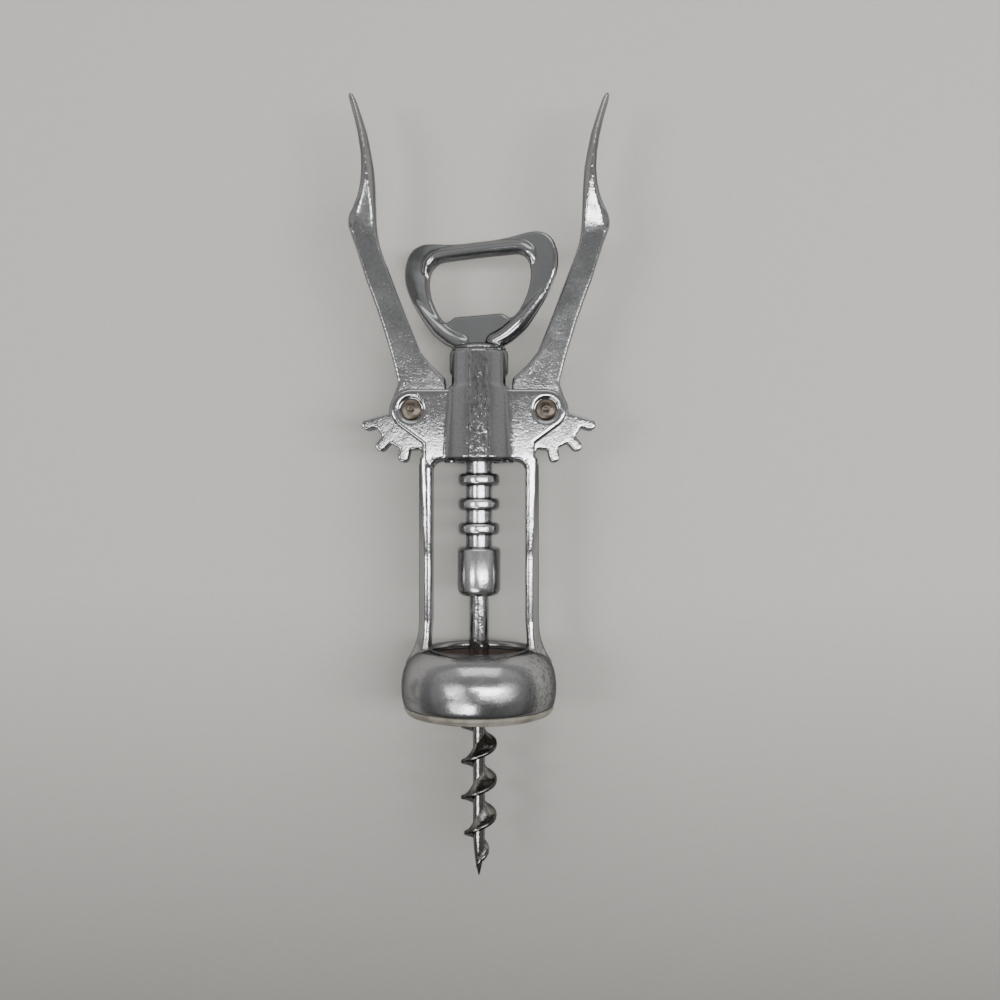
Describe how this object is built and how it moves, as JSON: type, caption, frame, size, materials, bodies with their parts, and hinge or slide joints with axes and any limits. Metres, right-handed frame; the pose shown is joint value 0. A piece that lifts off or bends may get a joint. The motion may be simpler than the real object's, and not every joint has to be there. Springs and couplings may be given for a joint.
{
  "type": "wing corkscrew",
  "caption": "Wing corkscrew: geared levers raise a ring rack and a free-turning worm through a bell that seats on the bottle; the handle is a cap lifter.",
  "frame": {"origin": "on the screw axis, in the plane of the bottle ring's mouth, where a bottle enters", "axes": "+Y along the screw axis from the bell to the handle, +X to the right wing, +Z out of the front; it lies on its back"},
  "size_m": [0.0692, 0.2058, 0.041],
  "materials": {
    "frame_plating": "bright plating over a die casting, pitted and rubbed",
    "wing_plating": "bright plating over a rough die casting",
    "handle_plating": "bright plating, smooth on its ridges and dull on its web",
    "rack_steel": "turned steel, bright, with small pits",
    "worm_steel": "dark steel with bright blade edges",
    "rivet_steel": "dull brown steel",
    "ring_nylon": "off-white nylon, slightly greyed"
  },
  "bodies": {
    "frame": {"frame": "frame_plating", "bottle_ring": "ring_nylon", "left_rivet": "rivet_steel", "right_rivet": "rivet_steel"},
    "left_wing": {"left_wing": "wing_plating"},
    "right_wing": {"right_wing": "wing_plating"},
    "rack": {"ring_rack": "rack_steel"},
    "screw": {"worm": "worm_steel", "opener_handle": "handle_plating"}
  },
  "joints": [
    {"name": "left_wing_hinge", "type": "hinge", "parent": "frame", "child": "left_wing", "pos_m": [-0.0174, 0.0788, 0], "axis": [0, 0, 1], "range_deg": [0, 160]},
    {"name": "right_wing_hinge", "type": "hinge", "parent": "frame", "child": "right_wing", "pos_m": [0.0174, 0.0788, 0], "axis": [0, 0, -1], "range_deg": [0, 160]},
    {"name": "rack_slide", "type": "slide", "parent": "frame", "child": "rack", "axis": [0, 1, 0], "range_m": [0, 0.03352]},
    {"name": "screw_spin", "type": "hinge", "parent": "rack", "child": "screw", "pos_m": [0, 0.05, 0], "axis": [0, 1, 0], "continuous": true}
  ],
  "couplings": [
    {"joint": "right_wing_hinge", "follows": "left_wing_hinge", "ratio": 1},
    {"joint": "rack_slide", "follows": "left_wing_hinge", "m_per_rad": 0.012}
  ]
}
